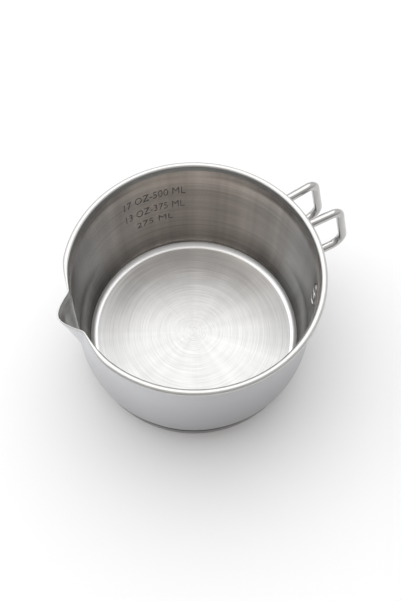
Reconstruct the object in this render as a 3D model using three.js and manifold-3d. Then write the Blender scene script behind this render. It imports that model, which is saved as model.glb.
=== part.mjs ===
// Candle melting pot: a pressed steel pot with a rolled rim, a pouring beak and an encapsulated base.
// Two wire loop handles turn in the half-round channels of a strap that is riveted to the wall.
// Millimetres, +Z up. The origin is the middle of the underside, the beak points along -X,
// and the handles are on the +X side.
import * as THREE from "three";
import { mergeVertices } from "three/addons/utils/BufferGeometryUtils.js";
import Module from "manifold-3d";

const wasm = await Module();
wasm.setup();

// Driving dimensions.
const RIM_RADIUS = 61;
const POT_HEIGHT = 71;
const SHEET = 0.8;
const GAP = 0.35; // clearance between neighbouring pieces
const WIRE_RADIUS = 2.2;

// Pot wall, floor and rim bead. The rolled bead is slightly wider than it is high.
const BEAD_HALF_WIDTH = 1.6;
const BEAD_HALF_HEIGHT = 1.35;
const BEAD_CENTRE_RADIUS = RIM_RADIUS - BEAD_HALF_WIDTH;
const BEAD_CENTRE_HEIGHT = POT_HEIGHT - BEAD_HALF_HEIGHT;
const WALL_OUTER = RIM_RADIUS - 3.2;
const WALL_INNER = WALL_OUTER - SHEET;
const WALL_MIDDLE = (WALL_OUTER + WALL_INNER) / 2;
const UNDERSIDE_HEIGHT = 5.2;
const FLOOR_HEIGHT = UNDERSIDE_HEIGHT + SHEET;
const CORNER_RUN = 7; // the wall curves in towards the floor over this width
const CORNER_RISE = 18; // and over this height
const FLARE = 0.4; // the wall widens a little under the rim
const FLARE_START = 63;
const FLARE_END = 68;
const BEAD_UNDERCUT = -Math.acos((WALL_OUTER + FLARE - BEAD_CENTRE_RADIUS) / BEAD_HALF_WIDTH); // the bead's lower end

// Pouring beak: a V that is widest at the rim and ends in a point part-way down the wall.
const BEAK_AZIMUTH = Math.PI;
const BEAK_HALF_WIDTH = THREE.MathUtils.degToRad(10.5);
const BEAK_REACH = 7.4;
const BEAK_APEX_HEIGHT = POT_HEIGHT - 33;
const BEAK_ROUNDING = 0.3; // softness of the V's fold, as a share of its half width
const BEAK_EASING = 0.16; // softness of the line where the beak leaves the wall, as a share of its reach
const BEAD_FADE_END = THREE.MathUtils.degToRad(30); // the bead is whole beyond this angle from the beak
const WALL_LEVELS = [BEAK_APEX_HEIGHT, 50, FLARE_START, (FLARE_START + FLARE_END) / 2, FLARE_END];

// Base: an aluminium disc inside a shallow steel cap.
const CAP_RADIUS = 53.8;
const CAP_SHEET = 0.6;
const CAP_HEIGHT = 6.4;
const CAP_EDGE = 1.4;
const DISC_BOTTOM = CAP_SHEET + GAP;
const DISC_TOP = UNDERSIDE_HEIGHT - GAP;
const DISC_RADIUS = CAP_RADIUS - CAP_SHEET - 2 * GAP;
const DISC_CHAMFER = 0.5;

// Handle strap: follows the wall, with a channel over each wire.
const STRAP_SHEET = 1.2;
const STRAP_INNER = WALL_OUTER + GAP;
const STRAP_OUTER = STRAP_INNER + STRAP_SHEET;
const STRAP_HEIGHT = 17;
const STRAP_CENTRE_HEIGHT = POT_HEIGHT - 18.5;
const STRAP_START = THREE.MathUtils.degToRad(-30);
const STRAP_END = THREE.MathUtils.degToRad(31.5);
const STRAP_END_ROUNDING = 4.5;
const CHANNEL_INNER = WIRE_RADIUS + GAP;
const CHANNEL_OUTER = CHANNEL_INNER + STRAP_SHEET;

// Wire loops: the hinge axes are upright lines just outside the wall.
const HINGE_RADIUS = WALL_OUTER + GAP + WIRE_RADIUS;
const FRONT_HINGE_AZIMUTH = THREE.MathUtils.degToRad(5.5);
const REAR_HINGE_AZIMUTH = THREE.MathUtils.degToRad(22);
const FRONT_LOOP_DIRECTION = THREE.MathUtils.degToRad(6);
const REAR_LOOP_DIRECTION = THREE.MathUtils.degToRad(12);
const LOOP_CENTRE_HEIGHT = POT_HEIGHT - 21.5;
const LOOP_HALF_HEIGHT = 16;
const TOP_ARM = 18;
const BOTTOM_ARM = 25.8;
const HINGE_BEND = 3.5;
const TOP_BEND = 5.6;
const BOTTOM_BEND = 6.4;
const WIRE_END_GAP = 0.6; // the two ends of the wire face each other inside the channel

// Rivets, one above the other near the strap's end.
const RIVET_AZIMUTH = THREE.MathUtils.degToRad(-24);
const RIVET_SPACING = 8.5;
const SHANK_RADIUS = 1.6;
const HEAD_RADIUS = 3.1;
const HEAD_HEIGHT = 1.2;
const RIVET_HOLE = SHANK_RADIUS + GAP;

// How finely round shapes are divided.
const WALL_STEPS = 80;
const BASE_STEPS = 72;
const ROUND_STEPS = 16;
const CORNER_STEPS = 4;
const POT_CORNER_STEPS = 7;
const BEAD_STEPS = 7;
const CHANNEL_STEPS = 10;
const STRAP_ARC_STEP = THREE.MathUtils.degToRad(3);
const WIRE_SIDES = 10;
const WIRE_STEPS = 66;

const brushedSteel = new THREE.MeshStandardMaterial({ color: 0xb4b2ae, roughness: 0.38, metalness: 1 });
const polishedSteel = new THREE.MeshStandardMaterial({ color: 0xc9c8c5, roughness: 0.16, metalness: 1 });
const pressedSteel = new THREE.MeshStandardMaterial({ color: 0xa9a8a5, roughness: 0.3, metalness: 1 });
const aluminium = new THREE.MeshStandardMaterial({ color: 0xc2c4c6, roughness: 0.5, metalness: 1 });

/** Points along an oval in a plane, from one angle to another, both ends included. */
function ovalPoints(centreX, centreY, halfWidth, halfHeight, from, to, steps) {
  return Array.from({ length: steps + 1 }, (_, i) => {
    const angle = THREE.MathUtils.lerp(from, to, i / steps);
    return new THREE.Vector2(centreX + halfWidth * Math.cos(angle), centreY + halfHeight * Math.sin(angle));
  });
}

/** Points of an arc in a plane, from one angle to another, both ends included. */
function arcPoints(centreX, centreY, radius, from, to, steps) {
  return ovalPoints(centreX, centreY, radius, radius, from, to, steps);
}

/** A closed three.js geometry as a manifold-3d solid. */
function toSolid(geometry) {
  const bare = geometry.clone();
  bare.deleteAttribute("normal");
  bare.deleteAttribute("uv");
  const merged = mergeVertices(bare, 1e-4);
  return new wasm.Manifold(
    new wasm.Mesh({
      numProp: 3,
      vertProperties: merged.attributes.position.array,
      triVerts: new Uint32Array(merged.index.array),
    }),
  );
}

/** A manifold-3d solid as a three.js geometry. */
function toGeometry(solid) {
  const mesh = solid.getMesh();
  const geometry = new THREE.BufferGeometry();
  geometry.setAttribute("position", new THREE.BufferAttribute(mesh.vertProperties, 3));
  geometry.setIndex(new THREE.BufferAttribute(mesh.triVerts, 1));
  geometry.computeVertexNormals();
  return geometry;
}

/** A turned shape standing on +Z, from a profile of (radius, height) points that starts and ends on the axis. */
function turned(profile, steps) {
  return new THREE.LatheGeometry(profile, steps).rotateX(Math.PI / 2);
}

/** A shape whose upright section changes with azimuth: one ring of points for each section point. */
function loftAroundAxis(sectionAt, azimuths) {
  const sections = azimuths.map(sectionAt);
  const positions = sections.flatMap((section, i) =>
    section.flatMap((p) => [p.x * Math.cos(azimuths[i]), p.x * Math.sin(azimuths[i]), p.y]),
  );
  const count = sections[0].length;
  const indices = [];
  for (let i = 0; i < azimuths.length; i++) {
    const here = i * count;
    const next = ((i + 1) % azimuths.length) * count;
    for (let j = 0; j < count - 1; j++) {
      if (j > 0) indices.push(here + j, here + j + 1, next + j);
      if (j < count - 2) indices.push(next + j, here + j + 1, next + j + 1);
    }
  }
  const geometry = new THREE.BufferGeometry();
  geometry.setAttribute("position", new THREE.Float32BufferAttribute(positions, 3));
  geometry.setIndex(indices);
  return mergeVertices(geometry, 1e-4);
}

/** Angle from the middle of the beak, between 0 and pi. */
function angleFromBeak(azimuth) {
  return Math.abs(THREE.MathUtils.euclideanModulo(azimuth - BEAK_AZIMUTH + Math.PI, 2 * Math.PI) - Math.PI);
}

/** How far the beak pushes the wall outwards at one azimuth and height. */
function beakPush(azimuth, height) {
  const rise = (height - BEAK_APEX_HEIGHT) / (POT_HEIGHT - BEAK_APEX_HEIGHT);
  const across = angleFromBeak(azimuth) / BEAK_HALF_WIDTH;
  const folded = (Math.hypot(across, BEAK_ROUNDING) - BEAK_ROUNDING) / (Math.hypot(1, BEAK_ROUNDING) - BEAK_ROUNDING);
  const push = THREE.MathUtils.clamp(rise - folded, -BEAK_EASING, 1);
  return BEAK_REACH * (push < BEAK_EASING ? (push + BEAK_EASING) ** 2 / (4 * BEAK_EASING) : push);
}

/** How far the wall has widened at a height. */
function flare(height) {
  return FLARE * THREE.MathUtils.smoothstep(height, FLARE_START, FLARE_END);
}

/** Section of the pot at one azimuth: up the inside, over the bead or the beak's lip, and down the outside. */
function potSection(azimuth) {
  const lip = 1 - THREE.MathUtils.smoothstep(angleFromBeak(azimuth), BEAK_HALF_WIDTH, BEAD_FADE_END);
  const edgeHalfWidth = THREE.MathUtils.lerp(BEAD_HALF_WIDTH, SHEET / 2, lip);
  const edgeHalfHeight = THREE.MathUtils.lerp(BEAD_HALF_HEIGHT, SHEET / 2, lip);
  const edgeCentre = THREE.MathUtils.lerp(BEAD_CENTRE_RADIUS, WALL_MIDDLE + FLARE, lip);
  const edgeHeight = THREE.MathUtils.lerp(BEAD_CENTRE_HEIGHT, POT_HEIGHT - SHEET / 2, lip);
  const edgeEnd = THREE.MathUtils.lerp(BEAD_UNDERCUT, 0, lip);
  const cornerCentre = [WALL_INNER - CORNER_RUN, FLOOR_HEIGHT + CORNER_RISE];
  const outerRun = CORNER_RUN + SHEET;
  const outerRise = CORNER_RISE + SHEET;
  const points = [
    new THREE.Vector2(0, FLOOR_HEIGHT),
    ...ovalPoints(...cornerCentre, CORNER_RUN, CORNER_RISE, -Math.PI / 2, 0, POT_CORNER_STEPS),
    ...WALL_LEVELS.map((level) => new THREE.Vector2(WALL_INNER + flare(level), level)),
    ...ovalPoints(edgeCentre, edgeHeight, edgeHalfWidth, edgeHalfHeight, Math.PI, edgeEnd, BEAD_STEPS),
    ...WALL_LEVELS.map((level) => new THREE.Vector2(WALL_OUTER + flare(level), level)).reverse(),
    ...ovalPoints(...cornerCentre, outerRun, outerRise, 0, -Math.PI / 2, POT_CORNER_STEPS),
    new THREE.Vector2(0, UNDERSIDE_HEIGHT),
  ];
  for (const p of points) p.x += beakPush(azimuth, p.y);
  return points;
}

/** A round cutter along the rivet's axis, through the wall and the strap. */
function rivetHole(height) {
  return new THREE.CylinderGeometry(RIVET_HOLE, RIVET_HOLE, 2 * CHANNEL_OUTER, ROUND_STEPS)
    .rotateZ(-Math.PI / 2)
    .translate(STRAP_INNER, 0, height)
    .rotateZ(RIVET_AZIMUTH);
}

const rivetHeights = {
  rivet_upper: STRAP_CENTRE_HEIGHT + RIVET_SPACING / 2,
  rivet_lower: STRAP_CENTRE_HEIGHT - RIVET_SPACING / 2,
};

/** The solid with both rivet holes cut through it. */
function withRivetHoles(solid) {
  return Object.values(rivetHeights).reduce((cut, height) => cut.subtract(toSolid(rivetHole(height))), solid);
}

/** The pressed pot: azimuths crowd together round the beak. */
function potBody() {
  const crowding = 0.6;
  const azimuths = Array.from({ length: WALL_STEPS }, (_, i) => {
    const even = (2 * Math.PI * i) / WALL_STEPS;
    return even + crowding * Math.sin(even);
  });
  return toGeometry(withRivetHoles(toSolid(loftAroundAxis(potSection, azimuths))));
}

/** The steel cap under the pot, with a rounded edge and an upright wall round the pot's corner. */
function baseCap() {
  const edgeCentre = [CAP_RADIUS - CAP_EDGE, CAP_EDGE];
  const profile = [
    new THREE.Vector2(0, 0),
    ...arcPoints(...edgeCentre, CAP_EDGE, -Math.PI / 2, 0, CORNER_STEPS),
    new THREE.Vector2(CAP_RADIUS, CAP_HEIGHT),
    new THREE.Vector2(CAP_RADIUS - CAP_SHEET, CAP_HEIGHT),
    ...arcPoints(...edgeCentre, CAP_EDGE - CAP_SHEET, 0, -Math.PI / 2, CORNER_STEPS),
    new THREE.Vector2(0, CAP_SHEET),
  ];
  return turned(profile, BASE_STEPS);
}

/** The aluminium disc between the pot and its cap. */
function heatSpreaderDisc() {
  const profile = [
    new THREE.Vector2(0, DISC_BOTTOM),
    new THREE.Vector2(DISC_RADIUS - DISC_CHAMFER, DISC_BOTTOM),
    new THREE.Vector2(DISC_RADIUS, DISC_BOTTOM + DISC_CHAMFER),
    new THREE.Vector2(DISC_RADIUS, DISC_TOP - DISC_CHAMFER),
    new THREE.Vector2(DISC_RADIUS - DISC_CHAMFER, DISC_TOP),
    new THREE.Vector2(0, DISC_TOP),
  ];
  return turned(profile, BASE_STEPS);
}

/** One face of the strap seen from above: arcs that follow the wall, with a half-round over each hinge axis. */
function strapFace(faceRadius, channelRadius) {
  const halfChannel = Math.asin(channelRadius / faceRadius);
  const points = [];
  let from = STRAP_START;
  for (const azimuth of [FRONT_HINGE_AZIMUTH, REAR_HINGE_AZIMUTH]) {
    const to = azimuth - halfChannel;
    points.push(...arcPoints(0, 0, faceRadius, from, to, Math.ceil((to - from) / STRAP_ARC_STEP)));
    const hinge = [HINGE_RADIUS * Math.cos(azimuth), HINGE_RADIUS * Math.sin(azimuth)];
    points.push(...arcPoints(...hinge, channelRadius, azimuth - Math.PI / 2, azimuth + Math.PI / 2, CHANNEL_STEPS));
    from = azimuth + halfChannel;
  }
  points.push(...arcPoints(0, 0, faceRadius, from, STRAP_END, Math.ceil((STRAP_END - from) / STRAP_ARC_STEP)));
  return points;
}

/** A slab across the strap whose outline rounds the strap's four corners. */
function strapOutline() {
  const left = STRAP_OUTER * Math.sin(STRAP_START);
  const right = STRAP_OUTER * Math.sin(STRAP_END);
  const low = STRAP_CENTRE_HEIGHT - STRAP_HEIGHT / 2;
  const high = STRAP_CENTRE_HEIGHT + STRAP_HEIGHT / 2;
  const r = STRAP_END_ROUNDING;
  const outline = new THREE.Shape([
    ...arcPoints(left + r, low + r, r, -Math.PI, -Math.PI / 2, CORNER_STEPS),
    ...arcPoints(right - r, low + r, r, -Math.PI / 2, 0, CORNER_STEPS),
    ...arcPoints(right - r, high - r, r, 0, Math.PI / 2, CORNER_STEPS),
    ...arcPoints(left + r, high - r, r, Math.PI / 2, Math.PI, CORNER_STEPS),
  ]);
  return new THREE.ExtrudeGeometry(outline, { depth: 2 * RIM_RADIUS, bevelEnabled: false })
    .rotateX(Math.PI / 2)
    .rotateZ(Math.PI / 2);
}

/** The handle strap, bent from one strip of sheet. */
function handleStrap() {
  const plan = new THREE.Shape([
    ...strapFace(STRAP_OUTER, CHANNEL_OUTER),
    ...strapFace(STRAP_INNER, CHANNEL_INNER).reverse(),
  ]);
  const strip = new THREE.ExtrudeGeometry(plan, { depth: STRAP_HEIGHT, bevelEnabled: false });
  strip.translate(0, 0, STRAP_CENTRE_HEIGHT - STRAP_HEIGHT / 2);
  return toGeometry(withRivetHoles(toSolid(strip).intersect(toSolid(strapOutline()))));
}

/** A rivet that lies along +X at the wall, with a domed head inside the pot and another outside the strap. */
function rivet() {
  const insideSeat = WALL_INNER - GAP;
  const outsideSeat = STRAP_OUTER + GAP;
  const domeRadius = (HEAD_RADIUS ** 2 + HEAD_HEIGHT ** 2) / (2 * HEAD_HEIGHT);
  const domeAngle = Math.asin(HEAD_RADIUS / domeRadius);
  const insideCentre = insideSeat - HEAD_HEIGHT + domeRadius;
  const outsideCentre = outsideSeat + HEAD_HEIGHT - domeRadius;
  const profile = [
    ...arcPoints(0, insideCentre, domeRadius, -Math.PI / 2, domeAngle - Math.PI / 2, CORNER_STEPS),
    new THREE.Vector2(SHANK_RADIUS, insideSeat),
    new THREE.Vector2(SHANK_RADIUS, outsideSeat),
    ...arcPoints(0, outsideCentre, domeRadius, Math.PI / 2 - domeAngle, Math.PI / 2, CORNER_STEPS),
  ];
  profile[0].x = 0;
  profile[profile.length - 1].x = 0;
  return new THREE.LatheGeometry(profile, ROUND_STEPS).rotateZ(-Math.PI / 2);
}

/** A path of straight stretches joined by near-circular bends of the given radii. */
function bentPath(corners, radii) {
  const path = new THREE.CurvePath();
  let from = corners[0];
  for (let i = 1; i < corners.length - 1; i++) {
    const corner = corners[i];
    const back = corners[i - 1].clone().sub(corner).normalize();
    const ahead = corners[i + 1].clone().sub(corner).normalize();
    const turn = Math.PI - back.angleTo(ahead);
    const setBack = radii[i - 1] * Math.tan(turn / 2);
    const start = corner.clone().addScaledVector(back, setBack);
    const end = corner.clone().addScaledVector(ahead, setBack);
    const pull = ((4 / 3) * Math.tan(turn / 4)) / Math.tan(turn / 2);
    path.add(new THREE.LineCurve3(from, start));
    path.add(
      new THREE.CubicBezierCurve3(start, start.clone().lerp(corner, pull), end.clone().lerp(corner, pull), end),
    );
    from = end;
  }
  path.add(new THREE.LineCurve3(from, corners[corners.length - 1]));
  return path;
}

/** A wire loop in the XZ plane, with its hinge stretch on the Z axis and its far bar leaning outwards below. */
function wireLoop() {
  const corners = [
    [0, WIRE_END_GAP / 2],
    [0, LOOP_HALF_HEIGHT],
    [TOP_ARM, LOOP_HALF_HEIGHT],
    [BOTTOM_ARM, -LOOP_HALF_HEIGHT],
    [0, -LOOP_HALF_HEIGHT],
    [0, -WIRE_END_GAP / 2],
  ].map(([out, up]) => new THREE.Vector3(out, 0, up));
  const section = new THREE.Shape(arcPoints(0, 0, WIRE_RADIUS, 0, 2 * Math.PI, WIRE_SIDES).slice(0, -1));
  return new THREE.ExtrudeGeometry(section, {
    extrudePath: bentPath(corners, [HINGE_BEND, TOP_BEND, BOTTOM_BEND, HINGE_BEND]),
    steps: WIRE_STEPS,
  });
}

function named(name, geometry, material) {
  const mesh = new THREE.Mesh(geometry, material);
  mesh.name = name;
  return mesh;
}

const pot = new THREE.Group();
pot.add(named("pot_body", potBody(), brushedSteel));
pot.add(named("heat_spreader_disc", heatSpreaderDisc(), aluminium));
pot.add(named("base_cap", baseCap(), brushedSteel));
pot.add(named("handle_strap", handleStrap(), pressedSteel));

for (const [name, height] of Object.entries(rivetHeights)) {
  const mesh = named(name, rivet(), polishedSteel);
  mesh.position.z = height;
  mesh.rotation.z = RIVET_AZIMUTH;
  pot.add(mesh);
}

const loops = [
  ["loop_handle_front", FRONT_HINGE_AZIMUTH, FRONT_LOOP_DIRECTION],
  ["loop_handle_rear", REAR_HINGE_AZIMUTH, REAR_LOOP_DIRECTION],
];
for (const [name, hingeAzimuth, direction] of loops) {
  const mesh = named(name, wireLoop(), polishedSteel);
  mesh.position.set(
    HINGE_RADIUS * Math.cos(hingeAzimuth),
    HINGE_RADIUS * Math.sin(hingeAzimuth),
    LOOP_CENTRE_HEIGHT,
  );
  mesh.rotation.z = direction;
  pot.add(mesh);
}

export default pot;
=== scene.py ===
"""Candle melting pot: the finely made visual model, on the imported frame.

Metres, +Z up. The origin is the middle of the underside, the pouring beak points along -X
and the wire loop handles are on the +X side.
"""
import logging
import math
from abc import ABC, abstractmethod
from bisect import bisect_left
from collections.abc import Sequence
from dataclasses import dataclass
from enum import Enum

import bmesh
import bpy
from mathutils import Matrix, Vector


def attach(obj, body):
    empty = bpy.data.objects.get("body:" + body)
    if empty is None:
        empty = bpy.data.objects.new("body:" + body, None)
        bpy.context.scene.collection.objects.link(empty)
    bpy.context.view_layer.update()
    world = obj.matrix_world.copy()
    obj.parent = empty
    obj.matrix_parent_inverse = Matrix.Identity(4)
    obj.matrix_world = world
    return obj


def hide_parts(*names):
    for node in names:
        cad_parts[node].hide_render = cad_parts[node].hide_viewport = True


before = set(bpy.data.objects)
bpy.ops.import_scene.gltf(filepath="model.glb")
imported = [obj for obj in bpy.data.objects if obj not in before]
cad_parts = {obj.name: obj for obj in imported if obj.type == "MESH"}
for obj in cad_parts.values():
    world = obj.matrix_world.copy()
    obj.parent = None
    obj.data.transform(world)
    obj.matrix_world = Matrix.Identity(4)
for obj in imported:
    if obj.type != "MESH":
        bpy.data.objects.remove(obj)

log = logging.getLogger("melting_pot")

Colour = tuple[float, float, float]
Socket = bpy.types.NodeSocket

MM = 0.001
GAP = 0.35 * MM

# Points as close as the first are merged. The others decide whether a point lies at a bend or on a slice.
MERGE_DISTANCE = MM / 1000
MATCH_DISTANCE = MERGE_DISTANCE / 10
SLICE_DISTANCE = MERGE_DISTANCE / 100

# Pot: rim, wall and floor.
# The bead's outside is 0.05 mm slimmer than in the CAD, whose facets cut its circle short.
RIM_RADIUS = 61 * MM
POT_HEIGHT = 71 * MM
SHEET = 0.8 * MM
BEAD_CENTRE_RADIUS = RIM_RADIUS - 1.6 * MM
BEAD_HALF_WIDTH = 1.55 * MM
BEAD_HALF_HEIGHT = 1.35 * MM
WALL_OUTER = RIM_RADIUS - 3.2 * MM
FLARE = 0.4 * MM
FLARE_START = 63 * MM
FLARE_END = 68 * MM
BEAD_UNDERCUT = -math.acos((WALL_OUTER + FLARE - BEAD_CENTRE_RADIUS) / BEAD_HALF_WIDTH)
WALL_INNER = WALL_OUTER - SHEET
WALL_MIDDLE = (WALL_OUTER + WALL_INNER) / 2
UNDERSIDE_HEIGHT = 5.2 * MM
FLOOR_HEIGHT = UNDERSIDE_HEIGHT + SHEET
CORNER_RUN = 7 * MM
CORNER_RISE = 18 * MM
RING_RADIUS = 53.2 * MM

# Pouring beak: a V that is widest at the rim. Its reach is 0.02 mm short of the CAD's, to stay in its box.
BEAK_AZIMUTH = math.pi
BEAK_HALF_WIDTH = math.radians(10.5)
BEAK_REACH = 7.38 * MM
BEAK_APEX_HEIGHT = POT_HEIGHT - 33 * MM
BEAK_ROUNDING = 0.3
BEAK_EASING = 0.16
BEAD_FADE_END = math.radians(30)

# Base cap.
CAP_RADIUS = 53.8 * MM
CAP_SHEET = 0.6 * MM
CAP_HEIGHT = 6.4 * MM
CAP_EDGE = 1.4 * MM

# Handle strap, with a half-round channel over each wire.
STRAP_SHEET = 1.2 * MM
STRAP_MIDDLE = WALL_OUTER + GAP + STRAP_SHEET / 2
STRAP_HEIGHT = 17 * MM
STRAP_CENTRE_HEIGHT = POT_HEIGHT - 18.5 * MM
STRAP_START = math.radians(-30)
STRAP_END = math.radians(31.5)
STRAP_END_ROUNDING = 4.5 * MM
STRAP_EDGE = 0.25 * MM
SHARP_ANGLE = math.radians(60)
CHANNEL_MIDDLE = 3.15 * MM
CHANNEL_FOOT = 0.9 * MM
CHANNEL_ROUNDINGS = (CHANNEL_FOOT, CHANNEL_MIDDLE, CHANNEL_MIDDLE, CHANNEL_FOOT)

# Wire loops. The fine wire is slimmer by the trim, so that it stays inside the CAD's ten-sided one.
WIRE_RADIUS = 2.2 * MM
WIRE_TRIM = 0.06 * MM
HINGE_RADIUS = WALL_OUTER + GAP + WIRE_RADIUS
LOOP_CENTRE_HEIGHT = POT_HEIGHT - 21.5 * MM
LOOP_HALF_HEIGHT = 16 * MM
TOP_ARM = 18 * MM
BOTTOM_ARM = 25.8 * MM
HINGE_BEND = 3.5 * MM
TOP_BEND = 5.6 * MM
BOTTOM_BEND = 6.4 * MM
WIRE_END_GAP = 0.6 * MM

# Rivets.
RIVET_AZIMUTH = math.radians(-24)
RIVET_SPACING = 8.5 * MM
SHANK_RADIUS = 1.6 * MM
HEAD_RADIUS = 3.1 * MM
HEAD_HEIGHT = 1.2 * MM
RIVET_HOLE = SHANK_RADIUS + GAP
HOLE_CUTTER_LENGTH = 10 * MM

# Volume marks on the inside of the wall.
MARK_AZIMUTH = math.radians(89.5)
MARK_THINNING = 0.012
MARK_LIFT = 0.03 * MM
MARK_THICKNESS = 0.04 * MM

# How finely round shapes are divided.
POT_STEPS = 480
RIVET_STEPS = 48
BEND_STEPS = 14

# Smaller angles than these count as none.
LEAST_TURN = 1e-4
ANGLE_TOLERANCE = 0.01

# Most values of a noise lie between these two.
NOISE_LOW = 0.3
NOISE_HIGH = 0.7

WHITE = (1.0, 1.0, 1.0)

# A shader's rotation is in turns.
QUARTER_TURN = 0.25


class PotSkin(Enum):
    """Material slots of the pot's body, by where they lie."""

    OUTSIDE = 0
    BEAD = 1
    INNER_WALL = 2
    INNER_FLOOR = 3
    CORNER_RING = 4


class RivetHeight(Enum):
    """How high each rivet's axis lies."""

    LOWER = STRAP_CENTRE_HEIGHT - RIVET_SPACING / 2
    UPPER = STRAP_CENTRE_HEIGHT + RIVET_SPACING / 2


class Graph:
    """A node tree with short calls for the nodes that the finishes use."""

    def __init__(self, tree: bpy.types.NodeTree) -> None:
        """Empties the tree."""
        self.tree = tree
        self.tree.nodes.clear()

    def node(self, kind: str, **settings: object) -> bpy.types.Node:
        """Adds a node.

        Args:
            kind: The node's type.
            settings: Its properties by name.

        Returns:
            The node.
        """
        made = self.tree.nodes.new(kind)
        for name, value in settings.items():
            setattr(made, name, value)
        return made

    def feed(self, socket: Socket, source: object) -> None:
        """Gives a socket its value.

        Args:
            socket: The socket to feed.
            source: A socket to link from, or a plain value.
        """
        if isinstance(source, bpy.types.NodeSocket):
            self.tree.links.new(source, socket)
        else:
            socket.default_value = source

    def math(self, operation: str, *sources: object) -> Socket:
        """Adds a Math node.

        Args:
            operation: What the node works out.
            sources: A socket or a number for each input.

        Returns:
            The result.
        """
        made = self.node("ShaderNodeMath", operation=operation)
        for socket, source in zip(made.inputs, sources):
            self.feed(socket, source)
        return made.outputs[0]

    def vector(self, operation: str, *sources: object) -> bpy.types.Node:
        """Adds a Vector Math node.

        Args:
            operation: What the node works out.
            sources: A socket or a vector for each input.

        Returns:
            The node, whose result is a vector or a value.
        """
        made = self.node("ShaderNodeVectorMath", operation=operation)
        for socket, source in zip(made.inputs, sources):
            self.feed(socket, source)
        return made

    def place(self) -> Socket:
        """Where the shaded point lies on the object."""
        return self.node("ShaderNodeTexCoord").outputs["Object"]

    def split(self, source: Socket) -> tuple[Socket, Socket, Socket]:
        """Splits a vector.

        Args:
            source: The vector.

        Returns:
            Its X, Y and Z.
        """
        made = self.node("ShaderNodeSeparateXYZ")
        self.feed(made.inputs[0], source)
        return made.outputs[0], made.outputs[1], made.outputs[2]

    def join(self, x: object, y: object, z: object) -> Socket:
        """Joins three parts to a vector.

        Args:
            x: A socket or a number.
            y: A socket or a number.
            z: A socket or a number.

        Returns:
            The vector.
        """
        made = self.node("ShaderNodeCombineXYZ")
        for socket, source in zip(made.inputs, (x, y, z)):
            self.feed(socket, source)
        return made.outputs[0]

    def remap(self, value: Socket, low: float, high: float, to_low: float, to_high: float) -> Socket:
        """Carries a value from one range to another and holds it at both ends.

        Args:
            value: The value.
            low: The first range's start.
            high: The first range's end.
            to_low: The second range's start.
            to_high: The second range's end.

        Returns:
            The value in the second range.
        """
        made = self.node("ShaderNodeMapRange")
        for socket, source in zip(made.inputs, (value, low, high, to_low, to_high)):
            self.feed(socket, source)
        return made.outputs[0]

    def blend(self, share: Socket, first: Colour, second: Colour) -> Socket:
        """Mixes two colours.

        Args:
            share: How much of the second colour there is.
            first: The colour at a share of 0.
            second: The colour at a share of 1.

        Returns:
            The mixed colour.
        """
        made = self.node("ShaderNodeMix", data_type="RGBA")
        factor, from_colour, to_colour = [socket for socket in made.inputs if socket.enabled]
        self.feed(factor, share)
        self.feed(from_colour, (*first, 1.0))
        self.feed(to_colour, (*second, 1.0))
        return next(socket for socket in made.outputs if socket.enabled)

    def noise(self, place: Socket, scale: float, detail: float = 2.0) -> Socket:
        """Adds plain three-dimensional noise.

        Args:
            place: Where the noise is read.
            scale: How many features there are in a metre, or in one unit of the place.
            detail: Octaves of finer features.

        Returns:
            The noise, about 0.5 on average.
        """
        made = self.node("ShaderNodeTexNoise")
        self.feed(made.inputs["Vector"], place)
        self.feed(made.inputs["Scale"], scale)
        self.feed(made.inputs["Detail"], detail)
        return made.outputs[0]

    def ring_noise(self, pitch: float, wander: float, detail: float = 2.0) -> Socket:
        """Noise in rings round the Z axis, as a turning brush leaves.

        Args:
            pitch: The mean width of one ring, in metres.
            wander: How much a ring changes along its length.
            detail: Octaves of finer rings.

        Returns:
            The noise, about 0.5 on average.
        """
        x, y, z = self.split(self.place())
        flat = self.join(x, y, 0.0)
        radius = self.vector("LENGTH", flat).outputs["Value"]
        heading_x, heading_y, _ = self.split(self.vector("NORMALIZE", flat).outputs[0])
        made = self.node("ShaderNodeTexNoise", noise_dimensions="4D")
        along = self.join(
            self.math("MULTIPLY", heading_x, wander),
            self.math("MULTIPLY", heading_y, wander),
            self.math("DIVIDE", z, pitch),
        )
        self.feed(made.inputs["Vector"], along)
        self.feed(made.inputs["W"], self.math("DIVIDE", radius, pitch))
        self.feed(made.inputs["Scale"], 1.0)
        self.feed(made.inputs["Detail"], detail)
        return made.outputs[0]

    def bump(self, height: Socket, distance: float) -> Socket:
        """Raises the surface.

        Args:
            height: How high each point lies, from 0 to 1.
            distance: The height of 1, in metres.

        Returns:
            The new normal.
        """
        made = self.node("ShaderNodeBump")
        self.feed(made.inputs["Distance"], distance)
        self.feed(made.inputs["Height"], height)
        return made.outputs[0]


@dataclass(frozen=True)
class Finish(ABC):
    """One finish of the pot. Each has its own procedural material."""

    name: str

    @abstractmethod
    def dress(self, graph: Graph, shader: bpy.types.Node) -> None:
        """Feeds the shader's sockets.

        Args:
            graph: The material's node tree.
            shader: Its Principled shader.
        """

    def material(self) -> bpy.types.Material:
        """Makes the finish's material once and then shares it.

        Returns:
            The material.
        """
        found = bpy.data.materials.get(self.name)
        if found:
            return found
        made = bpy.data.materials.new(self.name)
        made.use_nodes = True
        graph = Graph(made.node_tree)
        shader = graph.node("ShaderNodeBsdfPrincipled")
        output = graph.node("ShaderNodeOutputMaterial")
        graph.feed(output.inputs["Surface"], shader.outputs[0])
        self.dress(graph, shader)
        return made


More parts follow.
